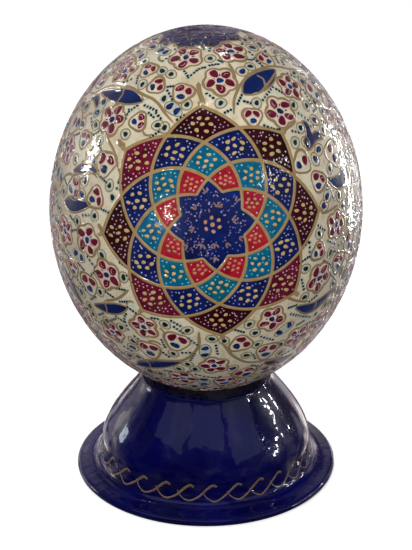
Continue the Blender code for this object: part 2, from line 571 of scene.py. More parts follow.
def flower(azimuth, height, turn, size):
    """Five crimson petals round a blue eye, inside a scalloped khaki outline."""
    spot = Spot(azimuth, height, turn, size)
    claims.add(spot.out, 6.9 * size)
    for k in range(5):
        a = 72 * k + 90 + vary(-7, 7)
        x, y = polar(vary(3.8, 4.3), radians(a))
        lean = a + vary(-35, 35)
        petal(spot, x, y, vary(1.95, 2.35), vary(1.5, 1.85), lean)
    eye(spot, 0, 0, 1.6, 1.35, vary(0, 180))
    for k in range(5):
        a = 72 * k + 126
        oval = ellipse(0.72, 0.34, 8, a) + polar(2.75, radians(a))
        coats["ink_green"].blob(spot, oval, rings=(0.6, 1.0))
    a = turns(70)
    lobe = np.abs(np.cos(2.5 * (a - np.pi / 2)))
    r = 5.5 + 1.45 * lobe + 0.15 * np.sin(3 * a + vary(0, 6))
    width = 1.15 + 0.3 * np.sin(2 * a + vary(0, 6))
    rim(spot, polar(r, a), width)


# Roughly how many millimetres a degree is on the shell: round the waist, and upward.
DEGREE_ROUND = 1.13
DEGREE_UP = 1.3


def between(*places):
    """The middle of some places, the turn that points from the first ones to the last, and
    how far apart they are in millimetres."""
    places = np.array(places, float)
    middle = places.mean(axis=0)
    step = places[-1] - places[:-1].mean(axis=0)
    x, y = step[0] * cos(radians(middle[1])) * DEGREE_ROUND, step[1] * DEGREE_UP
    return middle, degrees(atan2(x, -y)), hypot(x, y)


def bud(*places):
    """One or two crimson petals over a blue calyx, inside a pear-shaped khaki outline."""
    middle, turn, length = between(*places)
    spot = Spot(middle[0], middle[1], turn, min(1.15, max(0.85, length / 3.6)))
    claims.add(spot.out, 4.7)
    if len(places) == 3:
        petal(spot, -1.95, 1.35, 2.0, 1.5, 35 + vary(-30, 30))
        petal(spot, 1.95, 1.35, 1.85, 1.4, -35 + vary(-30, 30))
    else:
        petal(spot, 0, 1.7, 1.9, 1.5, vary(-25, 25))
    eye(spot, 0, -2.1, 1.85, 1.4, vary(-30, 30))
    a = turns(48)
    r = 4.45 + 0.55 * np.cos(3 * (a + np.pi / 2)) + 0.15 * np.sin(2 * a + vary(0, 6))
    width = 1.05 + 0.25 * np.sin(a + vary(0, 6))
    rim(spot, polar(r, a) - (0, 0.1), width)


def pair(first, second):
    """Two blue drops side by side on a pale ground."""
    middle, turn, length = between(first, second)
    spot = Spot(middle[0], middle[1], turn - 90)
    half = max(1.6, length / 2)
    claims.add(spot.out, half + 2.0)
    outline = ellipse(half + 2.2, 2.5, 24, 0, 0.04)
    coats["halo"].blob(spot, outline)
    rim(spot, outline, 0.5)
    for x in (-half, half):
        eye(spot, x, 0, 1.85, 1.4, vary(60, 120))


def seed(azimuth, height, ringed=True):
    """A dark green seed on a pale oval, with or without a khaki ring."""
    spot = Spot(azimuth, height, vary(0, 180))
    claims.add(spot.out, 2.5)
    coats["halo"].blob(spot, ellipse(2.2, 1.9, 14, 0, 0.04))
    coats["ink_green"].blob(spot, ellipse(vary(1.2, 1.5), vary(0.95, 1.15), 12, 0, 0.08))
    if ringed:
        rim(spot, ellipse(2.4, 2.1, 22, 0, 0.03), 0.55)


def drop(azimuth, height):
    """A single blue drop in a khaki ring."""
    spot = Spot(azimuth, height, vary(0, 180))
    claims.add(spot.out, 2.7)
    eye(spot, 0, 0, 1.75, 1.35, 0)
    rim(spot, ellipse(2.7, 2.35, 22, 0, 0.04), 0.6)


def dot_row(*places):
    """A row of small dark green dots through some places."""
    for out in route(places, 1.85):
        height = degrees(asin(max(-1.0, min(1.0, out[2]))))
        spot = Spot(degrees(atan2(out[0], -out[1])), height, vary(0, 180))
        claims.add(spot.out, 0.8)
        coats["halo"].dot(spot, 0, 0, 1.15)
        oval = ellipse(vary(0.68, 0.84), vary(0.56, 0.68), 9)
        coats["ink_green"].blob(spot, oval, DOT_RINGS)


# ---- leaves and vines
def route(places, spacing):
    """A smooth line of directions through places in degrees, spaced in millimetres."""
    rough = np.vstack([direction(a, h) for a, h in places])
    return unit(curve(rough * MEAN_RADIUS, spacing))


def vine(width, *places, coat="khaki"):
    """A brushed stem through some places."""
    outs = route(places, 0.7)
    points, normals = on_egg(outs)
    coats[coat].line(points, normals, taper(len(points), width, 0.5, 0.3))
    for out in outs[::3]:
        claims.add(out, width / 2 + 0.3)


LEAF_EDGE = 0.9    # the width of a leaf's khaki edge, in millimetres


def leaf(width, belly, *places):
    """A blue leaf along a spine, with a khaki edge. It is widest at belly, from 0 to 1 along it."""
    outs = route(places, 0.8)
    points, normals = on_egg(outs)
    n = len(points)
    t = np.linspace(0, 1, n)
    rising = np.sin(np.pi / 2 * np.minimum(1, t / belly)) ** 0.75
    falling = np.cos(np.pi / 2 * np.maximum(0, (t - belly) / (1 - belly))) ** 0.8
    half = width / 2 * MM * rising * falling
    side = unit(np.cross(normals, np.gradient(points, axis=0)))
    across = np.linspace(-1, 1, 9)
    offset = half[:, None] * across
    sheet = points[:, None] + side[:, None] * offset[..., None]
    sheet = sheet - normals[:, None] * (offset ** 2 / (2 * EGG_HALF_WIDTH))[..., None]
    facing = np.repeat(normals[:, None], len(across), axis=1)
    coats["leaf_blue"].grid(sheet[:, ::-1].reshape(-1, 3), facing.reshape(-1, 3), n, len(across))
    for sign in (-1, 1):
        edge = points + side * (sign * (half + 0.2 * MM))[:, None]
        edge -= normals * (half ** 2 / (2 * EGG_HALF_WIDTH))[:, None]
        coats["khaki"].line(edge, normals, LEAF_EDGE)
    for out, reach in zip(outs[::2], half[::2]):
        claims.add(out, reach / MM + 0.6)


def drawn_leaf(*places):
    """A blue leaf whose corners are given one by one, anticlockwise."""
    middle = np.mean(places, axis=0)
    spot = Spot(*middle)
    scale = (radians(cos(radians(middle[1]))) * EGG_HALF_WIDTH / MM,
             radians(1) * MEAN_RADIUS * 1.08)
    corners = [((a - middle[0]) * scale[0], (h - middle[1]) * scale[1]) for a, h in places]
    outline = curve(corners + corners[:1], 0.8)[:-1]
    coats["leaf_blue"].blob(spot, outline, rings=(0.3, 0.6, 0.9, 1.0))
    rim(spot, outline * 1.03, LEAF_EDGE)
    claims.add(spot.out, float(np.min(np.linalg.norm(outline, axis=1))) + 1.5)


# ---- the painted design
# The lists are for the front; the back repeats them. Places are in degrees. A bud's places
# are its petals and then its blue calyx. A leaf's numbers are its width and where along it
# it is widest; a vine's or a band's number is its width.
FLOWERS = (
    (-20, 69.5), (29, 72), (9.5, 59.2), (55.5, 52), (39, 45.3), (-48.4, 41), (-65, 57), (-70.5, 26),
    (-46, 4), (-60, 3), (-37, -5), (-24, -20.8), (-12.3, -46.5), (3.7, -37), (25, -18), (40.7, -29),
    (53, 7), (44.3, -7.8), (-41, -27), (53, -27))

BUDS = (
    ((-32.3, 57.5), (-28.5, 55), (-34, 55)), ((-16.5, 56), (-9.8, 54.7), (-14.6, 52.8)),
    ((-32.5, 44.5), (-31.7, 41.2), (-35, 42.3)), ((-48.8, 62), (-41.7, 61.5), (-45.8, 59.4)),
    ((21, 46.8), (25.6, 45.5), (22.7, 43.8)), ((-45, 29.5), (-40.5, 28.6), (-42.5, 25.6)),
    ((42.3, 29), (38.9, 28.1)), ((45.7, 23.6), (48.9, 21.5), (45.9, 20.2)),
    ((59.5, 29.3), (60.5, 26)), ((71.4, 48.6), (74, 44.3)), ((55, 66), (60, 65), (58, 63)),
    ((-62.5, 33), (-57.5, 32.7), (-59.8, 30.6)), ((-57.5, 19), (-54.5, 16.3), (-59.3, 16.3)),
    ((-43.6, 19.3), (-42.3, 16.3), (-45.7, 16.3)), ((-77.7, 33.8), (-72.5, 34.5)),
    ((-49, -9.8), (-44.8, -9), (-47, -12.5)), ((-57.8, -7), (-53.8, -6.8), (-55.8, -8.8)),
    ((-13.6, -24.3), (-8.6, -24), (-12.3, -27.2)), ((-27.5, -30), (-20.9, -29.7), (-24.3, -33.1)),
    ((13.2, -24.3), (16.6, -27.5), (12, -27.7)), ((24.1, -30.2), (29.5, -32), (26.8, -34.3)),
    ((42, 3), (44.8, -0.3), (41.8, 0.8)), ((54.3, -3), (56.5, -6), (54.8, -7.3)),
    ((61.5, 1), (63, -2.3)), ((8.2, -48.4), (13.9, -47.5), (11.1, -51.5)),
    ((17.3, -42.9), (20.7, -42.5), (22, -46.1)), ((31.4, -43.8), (33, -46.5)))

PAIRS = (
    ((-19, 49.2), (-14.8, 47.7)), ((-53, 70), (-46, 70)), ((-60.5, 44.7), (-60.7, 40.9)),
    ((-52.8, -1.8), (-49.3, -2.5)), ((-0.3, -27.6), (-0.3, -30.8)), ((33.6, -22.2), (29.8, -24.5)),
    ((-1.2, -47.2), (-0.8, -51.4)), ((-73, 17.9), (-69, 17.5)))

DROPS = (
    (60, 71), (27.7, 62.1), (80, 64), (70, 51), (-51.4, 20.9), (57.5, 39), (51.8, 30.4), (49.5, 16.5),
    (47, 14.1), (67.3, 7.5), (-32.7, -32), (48, 28.1), (62.5, 11.3), (-51.4, 16.6))

SEEDS = (
    (-41.7, 55), (-25.5, 61), (4, 69.2), (36.7, 63.5), (27.6, 49.6), (7.9, 50.8), (-10.1, 50.2),
    (-22.7, 42.5), (-19.2, 42), (-37.3, 37.9), (-50, 33.4), (-61.1, 25.2), (-38.2, 22), (-64.1, 14.3),
    (-43, 12), (-66.3, 8.5), (-52, 8.3), (-38.8, 1), (-63.5, -4), (-41.3, -11.8), (-50, -19.5),
    (-49.8, -22.5), (-15.2, -18.6), (-6.9, -20.2), (2.2, -23.5), (-34.8, -23.5), (-41.6, -22.7),
    (-13.6, -31.1), (-8.2, -36.3), (-24.3, -45.4), (-32, -36.5), (16.1, -18.6), (7, -24.5),
    (17.3, -32.5), (32.7, -30.4), (35, -35.4), (38, -12.8), (43.3, 6.5), (49.3, -0.8), (56.5, 15),
    (61.8, 5.3), (69.5, 1.5), (37, -3), (53.8, -12.5), (54.8, 23.8), (60, 35), (40.2, 34.8), (49, 46),
    (67.3, 25.6), (78, 24), (70, 55), (79, 60.5), (57, -16), (61, -17.5))

DOT_ROWS = (
    ((-12.3, 60.3), (-5.4, 64.2), (-0.8, 64.9)), ((3, 65.8), (10.4, 66.3)), ((0.4, 54.3), (4, 52.7)),
    ((-23.3, 54.5), (-18.7, 51.6)), ((17, 50.2), (20.5, 53)), ((31.9, 50.2), (42.5, 53.8)),
    ((27.5, 41.9), (31.9, 40.2), (34.6, 39.9)), ((-41, 45.4), (-40.5, 42.5)),
    ((-33, 48.1), (-25.6, 47.1)), ((-56.5, 53.4), (-52.7, 55.4)), ((45.4, 66), (47, 62.5)),
    ((11, 78.7), (4, 73.3)), ((49, 69.5), (47, 62)), ((49.1, 42.9), (53.2, 39.8)),
    ((64, 48.8), (62, 43.8)), ((-49, 10.8), (-46, 11.5)), ((-46, -1.3), (-42.5, -3.8)),
    ((-51.8, -5), (-48.8, -6.3)), ((-38.5, -11), (-35.3, -12)), ((-54, -11.3), (-50, -13.5)),
    ((-20, -16.7), (-17.7, -16.7)), ((-30.7, -17.2), (-32, -19.3), (-31.5, -23.4)),
    ((-29.3, -25.9), (-26.8, -27.5)), ((-17.5, -25.2), (-16.6, -28.3)), ((-4.8, -30.5), (-6.6, -33.8)),
    ((3.9, -26.5), (4.8, -30.4)), ((-5, -42.8), (4.5, -45.4), (7.3, -44.7)),
    ((21.8, -24.5), (27.5, -27)), ((20.5, -32.9), (22, -35)), ((33, -17.7), (44, -21.8)),
    ((38.5, 4.8), (38.5, 0.5)), ((43, 9), (46, 7)), ((47.8, 3.3), (51.5, 1.5)), ((56.8, 2.8), (58.3, 0.3)),
    ((45.8, -2.5), (50, -5), (52.5, -8)), ((35.5, -6.3), (37, -9.8)), ((51.8, 18), (53.2, 14.5)),
    ((59, 8), (61, 8)))

LEAVES = (
    (6.4, 0.66, (-69, 47.0), (-60, 48.0), (-48, 49.4), (-35, 49.4)),
    (7.4, 0.36, (21.8, 53.4), (32, 56.4), (55.5, 59.4)),
    (1.2, 0.5, (34.5, 53.3), (44, 55.6), (52.5, 58)), (3.6, 0.4, (-60, 21.8), (-52, 24.4), (-44.4, 24.8)),
    (1.8, 0.5, (-53, 27), (-50.6, 28), (-46.6, 26.4)), (6.0, 0.36, (-62, 11.6), (-55, 12.6), (-45.6, 14.8)),
    (2.8, 0.5, (-74, 43), (-69.5, 44.4), (-63, 42.2)), (5.0, 0.62, (-46.6, -18), (-38, -17), (-29.6, -14.6)),
    (4.8, 0.45, (34.5, -15.6), (44, -18), (55, -14.6)), (5.4, 0.4, (-37.5, -43), (-28, -40), (-11, -35.4)),
    (4.6, 0.55, (28, -38.8), (37, -41.2), (46.5, -39.8)), (3.6, 0.5, (59.5, -13.2), (66.5, -10.3)),
    (5.4, 0.5, (-66, -9.5), (-61.5, -15), (-55, -20.5)), (3.2, 0.5, (72, -1.2), (74.5, -6.4)))

LEAF_BANDS = (
    (1.0, (-52.6, 51.6), (-50.6, 49.4), (-51, 46.8)), (1.1, (36.6, 59.4), (39.6, 57.4), (37.4, 54.6)),
    (0.9, (-40.4, -14.8), (-39.6, -17.2), (-40.4, -19.4)), (0.9, (44.6, -15.4), (45.2, -17.6), (44.4, -20)),
    (0.9, (-28.4, -37.6), (-27.4, -39.8), (-28, -42)))

THREE_POINTED_LEAF = (
    (49.0, 40.1), (48.0, 36.2), (45.8, 35.1), (44.6, 32.6), (46.2, 31.6), (49.4, 32.3), (52.8, 33.2),
    (58.1, 33.3), (54.6, 35.8), (51.6, 35.6), (51.5, 37.1), (51.4, 39.2))

CRESCENT_LEAF = (
    (51.0, 22.1), (54.0, 18.6), (57.2, 17.0), (63.8, 16.8), (67.2, 18.3), (66.0, 22.0), (62.5, 21.8),
    (59.7, 20.8), (55.2, 20.9))

VINES = (
    (1.3, (-81, 43.8), (-75, 45.2), (-67, 49.6), (-61, 51.1), (-55, 52), (-49, 52.8), (-40, 52),
     (-35, 51.4), (-30, 50.8), (-25, 49.2), (-21.7, 47.3), (-18.3, 45.4), (-15.4, 43.8)),
    (1.3, (13.8, 46.7), (15.4, 51.3), (17.9, 54), (20.8, 56.2), (25.8, 58.5), (31.3, 60.2), (37.5, 61.2),
     (48.6, 61.6), (55.5, 61), (62.3, 59.5), (69, 57.2), (76, 55.2), (82.7, 52.9)),
    (1.2, (20, 59.2), (20.8, 62.5), (19.6, 66.7)),
    (2.0, (-1.2, 49.8), (-2.4, 52.4), (-4.0, 55.2), (-5.0, 58.6)),
    (1.4, (-48, 36), (-45, 34.5), (-41, 32.5), (-38, 30), (-36, 27.5)),
    (2.4, (-40, 35.6), (-37.7, 34.5), (-35.4, 34.4)),
    (1.3, (-68.5, 14.5), (-66.4, 18), (-61.8, 20.4), (-55, 20.2), (-49.8, 24), (-44.5, 23)),
    (1.3, (36, 38), (37.7, 39.3), (41.8, 40.2), (45.5, 41)), (1.2, (45, 12.5), (48, 12), (55, 12.5)),
    (1.8, (-41, 10), (-38, 8)),
    (1.4, (-2.7, -20.6), (-2.7, -25.6), (-4.1, -28.8), (-6.8, -32), (-10.5, -34.3), (-15.9, -35.2),
     (-22.3, -36), (-30, -37.5)),
    (1.4, (6.1, -25.2), (8.2, -27.9), (10.9, -31.5), (14.5, -34.3), (18.6, -36.5), (24.1, -37.4),
     (30, -37.6), (38, -38.4)),
    (1.3, (28, -10), (34, -13), (40.5, -15)), (1.3, (-28, -8), (-33, -12), (-40, -14.6)))

# These fill the seams between the two halves.
SEAM_FLOWERS = ((88, 38), (87, 4), (91, -32), (72, -40), (-72, -38), (104, 58))
SEAM_LEAVES = (
    (5.6, 0.4, (76, 14), (84, 17), (94, 16)), (5.2, 0.5, (78, -16), (86, -20), (95, -19)),
    (5.0, 0.45, (82, 50), (90, 47), (97, 43)), (5.0, 0.5, (60, -49), (70, -50), (80, -49)))


def turned(places, half):
    """The same places on the other half of the egg."""
    return [(azimuth + half, height) for azimuth, height in places]


def paint_half(half):
    """Every listed motif, on the front (0) or turned round to the back (180)."""
    big_rosette(*turned([ROSETTE_PLACE], half)[0])
    for width, belly, *places in LEAVES + SEAM_LEAVES:
        leaf(width, belly, *turned(places, half))
    for width, *places in LEAF_BANDS:
        vine(width, *turned(places, half), coat="band")
    drawn_leaf(*turned(THREE_POINTED_LEAF, half))
    drawn_leaf(*turned(CRESCENT_LEAF, half))
    for width, *places in VINES:
        vine(width, *turned(places, half))
    for azimuth, height in turned(FLOWERS + SEAM_FLOWERS, half):
        small = height < -15 or abs(azimuth - half) > 50    # low down, or near a seam
        flower(azimuth, height, vary(-36, 36), 0.9 if small else 1.0)
    for places in BUDS:
        bud(*turned(places, half))
    for places in PAIRS:
        pair(*turned(places, half))
    for azimuth, height in turned(DROPS, half):
        drop(azimuth, height)
    for azimuth, height in turned(SEEDS, half):
        seed(azimuth, height)
    for places in DOT_ROWS:
        dot_row(*turned(places, half))


def random_place(lowest, highest):
    """A random azimuth and height, spread evenly over the egg between two heights."""
    low, high = sin(radians(lowest)), sin(radians(highest))
    return vary(-180, 180), degrees(asin(vary(low, high)))


def tendril(azimuth, height):
    """A short curled khaki brush stroke."""
    spot = Spot(azimuth, height, vary(0, 360))
    reach = vary(1.6, 2.8)
    line = curve([(-reach, -0.5), (-0.3 * reach, 0.5), (0.5 * reach, 0.3), (reach, -0.8)], 0.4)
    coats["khaki"].path(spot, line, taper(len(line), vary(0.9, 1.3), 0.9, 0.25))
    claims.add(spot.out, 1.6)


def flower_at_random(azimuth, height):
    flower(azimuth, height, vary(0, 72), 0.88)


def bud_at_random(azimuth, height):
    lean = radians(vary(0, 360))
    step = np.array([cos(lean) / cos(radians(height)), sin(lean)])
    side = np.array([-step[1], step[0]])
    here = np.array([azimuth, height])
    bud(here + step + side, here + step - side, here - 1.6 * step)


def seed_at_random(azimuth, height):
    seed(azimuth, height, ringed=chance.random() < 0.6)


def two_dots(azimuth, height):
    reach = vary(-1.4, 1.4)
    dot_row((azimuth - 1.6, height - reach), (azimuth + 1.6, height + reach))


# Motifs for bare places, the larger ones first: how many places are tried, the room that one
# needs in millimetres, and what draws it.
FILLERS = ((900, 5.9, flower_at_random), (3000, 4.0, bud_at_random), (4000, 2.6, drop),
           (7000, 2.0, seed_at_random), (4000, 1.5, tendril), (9000, 1.15, two_dots))
FILLED_HEIGHTS = (-68, 76)


def fill_bare_places():
    """Draw each filler wherever a random place still has room for it."""
    for tries, need, draw in FILLERS:
        for _ in range(tries):
            azimuth, height = random_place(*FILLED_HEIGHTS)
            if claims.room(direction(azimuth, height)) >= need:
                draw(azimuth, height)


top_medallion()
paint_half(0)
paint_half(180)
fill_bare_places()


# ---- lathe-turned pieces
EGG_RINGS = 168
EGG_AROUND = 256
STAND_AROUND = 224


def lathe(name, profile, around, material, node, slot):
    """A turned piece from an outline of (radius, height) that starts and ends on the axis."""
    rings = np.array(profile[1:-1])
    flat = polar(rings[:, :1], turns(around))
    z = np.repeat(rings[:, 1:], around, axis=1)
    points = np.dstack([flat, z]).reshape(-1, 3).tolist()
    low, high = len(points), len(points) + 1
    points += [[0, 0, profile[0][1]], [0, 0, profile[-1][1]]]
    faces = []
    for ring in range(len(rings) - 1):
        a, b = ring * around, (ring + 1) * around
        faces += [(a + k, a + (k + 1) % around, b + (k + 1) % around, b + k) for k in range(around)]
    last = (len(rings) - 1) * around
    faces += [(low, (k + 1) % around, k) for k in range(around)]
    faces += [(last + k, last + (k + 1) % around, high) for k in range(around)]
    piece = show(name, points, faces, material)
    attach(piece, "root")
    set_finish(piece, slot)
    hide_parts(node)


def egg_outline():
    """The egg's outline from its bottom pole up to its top pole."""
    heights = np.radians(np.linspace(-90, 90, EGG_RINGS + 1))
    points, _ = on_egg(np.stack([np.cos(heights), 0 * heights, np.sin(heights)], axis=-1))
    outline = [(max(0.0, float(x)), float(z)) for x, _, z in points]
    outline[0], outline[-1] = (0.0, outline[0][1]), (0.0, outline[-1][1])
    return outline


def sweep(start, handles, end, steps):
    """A cubic curve from start towards end, without its last point."""
    corners = np.array((start, *handles, end))
    t = np.linspace(0, 1, steps, endpoint=False)[:, None]
    weights = np.hstack([(1 - t) ** 3, 3 * (1 - t) ** 2 * t, 3 * (1 - t) * t * t, t ** 3])
    return [tuple(p) for p in weights @ corners]


def arc(centre, radius, first, last, steps):
    """Points along an arc from one angle to another, in degrees, both ends included."""
    a = np.radians(np.linspace(first, last, steps + 1))
    return [tuple(p) for p in centre + polar(radius, a)]


def stand_outline():
    """Foot, rounded lip, flange, wall, shoulder, top edge and the seat under the egg."""
    lip = arc((FLANGE_RADIUS - LIP_THICKNESS / 2, LIP_THICKNESS / 2), LIP_THICKNESS / 2, -90, 90, 16)
    wall_foot = (WALL_RADIUS, WALL_FOOT)
    flare = sweep((FLARE_RADIUS, LIP_THICKNESS + FLARE_RISE), FLARE_HANDLES, wall_foot, 28)
    shoulder = sweep(wall_foot, SHOULDER_HANDLES, (TOP_RADIUS, STAND_HEIGHT - EDGE_RADIUS), 60)
    edge = arc((TOP_RADIUS - EDGE_RADIUS, STAND_HEIGHT - EDGE_RADIUS), EDGE_RADIUS, 0, 90, 6)
    seat = []
    rim_angle = -asin((EGG_MIDDLE - STAND_HEIGHT) / (EGG_HALF_LENGTH + SEAT_GAP))
    for angle in np.linspace(rim_angle, -pi / 2, 16)[:-1]:
        rise = sin(angle)
        seat.append(((EGG_HALF_WIDTH + SEAT_GAP) * cos(angle) * fullness(rise),
                     EGG_MIDDLE + (EGG_HALF_LENGTH + SEAT_GAP) * rise))
    floor = EGG_MIDDLE - EGG_HALF_LENGTH - SEAT_GAP
    bottom = [(r * MM, 0.0) for r in (0.0, 18, 36, 50)]
    return bottom + lip + flare + shoulder + edge + seat + [(0.0, floor)]


SCROLL_THICKNESS = 0.15
SCROLL_STROKES = 28
SCROLL_START = 4.3    # degrees from the middle of the front
# One stroke, as (degrees round the stand, height in millimetres, whether its height varies).
SCROLL_STROKE = ((-6.5, 10.8, 1), (-4.2, 8.0, 0), (0, 6.7, 1), (4.8, 8.3, 0), (8.8, 11.3, 1),
                 (12.2, 13.4, 1), (14.6, 12.8, 1))


def scroll(outline):
    """The running wave painted round the foot of the stand's wall, one stroke after another."""
    wall = [(z, r) for r, z in outline if r > 40 * MM and LIP_THICKNESS < z < 30 * MM]
    heights, radii = zip(*wall)
    samples = np.linspace(4, 30, 300) * MM
    slope = np.gradient(np.interp(samples, heights, radii), samples)
    coat = Coat("paint_stand_scroll", SCROLL_THICKNESS)
    for k in range(SCROLL_STROKES):
        base = SCROLL_START + 360 / SCROLL_STROKES * k + vary(-0.5, 0.5)
        lift = vary(-0.35, 0.35)
        shape = curve([(azimuth, height + lift * varies) for azimuth, height, varies in SCROLL_STROKE], 0.6)
        z = shape[:, 1] * MM
        radius = np.interp(z, heights, radii)
        a = np.radians(base + shape[:, 0])
        points = np.stack([radius * np.sin(a), -radius * np.cos(a), z], axis=-1)
        tilt = np.interp(z, samples, slope)
        normals = unit(np.stack([np.sin(a), -np.cos(a), -tilt], axis=-1))
        along = np.linspace(0, 1, len(shape))
        widths = np.interp(along, (0, 0.25, 0.6, 0.9, 1), (0.4, 0.7, 1.0, 1.4, 1.1))
        coat.line(points, normals, widths * vary(0.9, 1.1))
    return coat


# ---- materials
class Graph:
    """A node tree as it is wired up, and the place that its textures read."""

    def __init__(self, tree, coordinates="Object"):
        self.nodes, self.links = tree.nodes, tree.links
        self.place = self.nodes.new("ShaderNodeTexCoord").outputs[coordinates]

    def new(self, kind, inputs, **settings):
        """A new node. An input is a value, or another node's output to link."""
        node = self.nodes.new("ShaderNode" + kind)
        for name, value in settings.items():
            setattr(node, name, value)
        for name, value in inputs.items():
            if isinstance(value, bpy.types.NodeSocket):
                self.links.new(value, node.inputs[name])
            else:
                node.inputs[name].default_value = value
        return node

    def ramp(self, factor, *stops):
        """A colour ramp over (position, sRGB colour) stops."""
        node = self.new("ValToRGB", {"Fac": factor})
        elements = node.color_ramp.elements
        for element, (position, colour) in ((elements[0], stops[0]), (elements[1], stops[-1])):
            element.position, element.color = position, (*linear(colour), 1)
        for position, colour in stops[1:-1]:
            elements.new(position).color = (*linear(colour), 1)
        return node.outputs["Color"]

    def noise(self, size, detail=3.0, rough=0.5, distortion=0.0, place=None):
        """Noise whose features are about size millimetres across."""
        inputs = {"Vector": place or self.place, "Scale": 1 / (size * MM), "Detail": detail,
                  "Roughness": rough, "Distortion": distortion}
        return self.new("TexNoise", inputs).outputs["Fac"]

    def spread(self, value, low, high, first=0.3, last=0.7, **settings):
        """A value taken from between first and last to between low and high."""
        inputs = {"Value": value, "From Min": first, "From Max": last, "To Min": low, "To Max": high}
        return self.new("MapRange", inputs, **settings).outputs["Result"]

    def mix(self, factor, first, second, **settings):
        inputs = {"Factor": factor, "A": first, "B": second}
        return self.new("Mix", inputs, data_type="RGBA", **settings).outputs["Result"]

    def bumps(self, *layers):
        """Bump layers of (height, strength, distance in millimetres), one over the other."""
        inputs = {}
        for height, strength, distance in layers:
            inputs.update({"Height": height, "Strength": strength, "Distance": distance * MM})
            inputs["Normal"] = self.new("Bump", inputs).outputs["Normal"]
        return inputs["Normal"]


def new_material(name):
    """A material, the graph that feeds it, and its shader."""
    material = bpy.data.materials.new(name)
    material.use_nodes = True
    return material, Graph(material.node_tree), material.node_tree.nodes["Principled BSDF"]


def varnish(graph, shader, normal, coat_roughness, base_gloss):
    """Clear varnish over a nearly matt base. Both follow the same uneven surface."""
    graph.links.new(normal, shader.inputs["Normal"])
    graph.links.new(normal, shader.inputs["Coat Normal"])
    shader.inputs["Specular IOR Level"].default_value = base_gloss
    shader.inputs["Coat Weight"].default_value = 1.0
    shader.inputs["Coat Roughness"].default_value = coat_roughness


def darker(colour, by):
    return tuple(c * by for c in colour)


def enamel(name, colour, shade, mottle, drift=None, grain=0.02):
    """Brushed enamel under clear varnish, between a full colour and its darker shade.

    drift is a second full colour that the paint wanders to over a few centimetres. grain is
    the depth of the brush marks in millimetres."""
    material, graph, shader = new_material("enamel_" + name)
    if isinstance(shade, float):
        shade = darker(colour, shade)
    middle = tuple((a * 2 + b) / 3 for a, b in zip(colour, shade))
    broad = graph.noise(mottle, 4.0, 0.6, 0.4)
    tone = graph.ramp(broad, (0.3, shade), (0.48, middle), (0.66, colour))
    if drift:
        other = graph.ramp(broad, (0.3, darker(drift, 0.7)), (0.66, drift))
        wander = graph.noise(21.0, 2.0, 0.5, 0.3)
        tone = graph.mix(graph.spread(wander, 0.0, 1.0), tone, other)
    graph.links.new(tone, shader.inputs["Base Color"])
    fine = graph.noise(0.7, 3.0, 0.6)
    graph.links.new(graph.spread(fine, 0.30, 0.44), shader.inputs["Roughness"])
    waves = graph.noise(2.0, 1.0, 0.5)
    varnish(graph, shader, graph.bumps((waves, 0.8, 0.15), (fine, 0.3, grain)), 0.02, 0.12)
    return material


def shell_ground():
    """Ivory ground brushed over the eggshell: mottled, faintly green in places, with fine pores."""
    material, graph, shader = new_material("varnished_ivory_shell")
    broad = graph.noise(14.0, 4.0, 0.6, 0.5)
    tone = graph.ramp(broad, (0.25, IVORY_SHADE), (0.45, IVORY), (0.6, IVORY_PALE), (0.78, PALE_GREEN))
    streaks = graph.noise(2.4, 5.0, 0.65, 1.2)
    stain = graph.ramp(streaks, (0.30, IVORY_STAIN), (0.46, (246, 242, 230)), (0.7, (255, 255, 255)))
    tone = graph.mix(0.55, tone, stain, blend_type="MULTIPLY")
    graph.links.new(tone, shader.inputs["Base Color"])
    fine = graph.noise(0.8, 3.0, 0.6)
    graph.links.new(graph.spread(fine, 0.32, 0.48), shader.inputs["Roughness"])
    pores = graph.new("TexVoronoi", {"Vector": graph.place, "Scale": 1 / (1.7 * MM)})
    pit = graph.ramp(pores.outputs["Distance"], (0.06, (0, 0, 0)), (0.2, (255, 255, 255)))
    waves = graph.noise(2.0, 1.0, 0.5)
    normal = graph.bumps((waves, 0.8, 0.15), (pit, 0.4, 0.05), (fine, 0.3, 0.02))
    varnish(graph, shader, normal, 0.03, 0.12)
    return material


def stand_lacquer():
    """Thick cobalt lacquer over turned wood: turning rings and a lumpy, glassy surface."""
    material, graph, shader = new_material("cobalt_lacquer")
    broad = graph.noise(26.0, 3.0, 0.55, 0.3)
    tone = graph.ramp(broad, (0.3, COBALT_DEEP), (0.55, COBALT), (0.75, COBALT_WORN))
    graph.links.new(tone, shader.inputs["Base Color"])
    fine = graph.noise(1.1, 3.0, 0.6)
    graph.links.new(graph.spread(fine, 0.16, 0.30), shader.inputs["Roughness"])
    squash = graph.new("Mapping", {"Vector": graph.place, "Scale": (0.12, 0.12, 1.0)})
    rings = graph.noise(1.5, 2.0, 0.5, place=squash.outputs["Vector"])
    lumps = graph.noise(9.0, 2.0, 0.5)
    grit = graph.noise(0.9, 2.0, 0.6)
    normal = graph.bumps((lumps, 0.6, 0.40), (rings, 0.4, 0.04), (grit, 0.4, 0.012))
    varnish(graph, shader, normal, 0.025, 0.15)
    return material


lathe("painted_shell_ground", egg_outline(), EGG_AROUND, shell_ground(), "egg_shell", "painted_shell")
for name, coat in coats.items():
    coat.build(enamel(*ENAMELS[name][1:]))
profile = stand_outline()
lathe("lacquered_stand_body", profile, STAND_AROUND, stand_lacquer(), "stand", "lacquered_stand")
scroll(profile).build(enamel("scroll_gold", SCROLL_GOLD, SCROLL_SHADE, 2.0), "lacquered_stand")


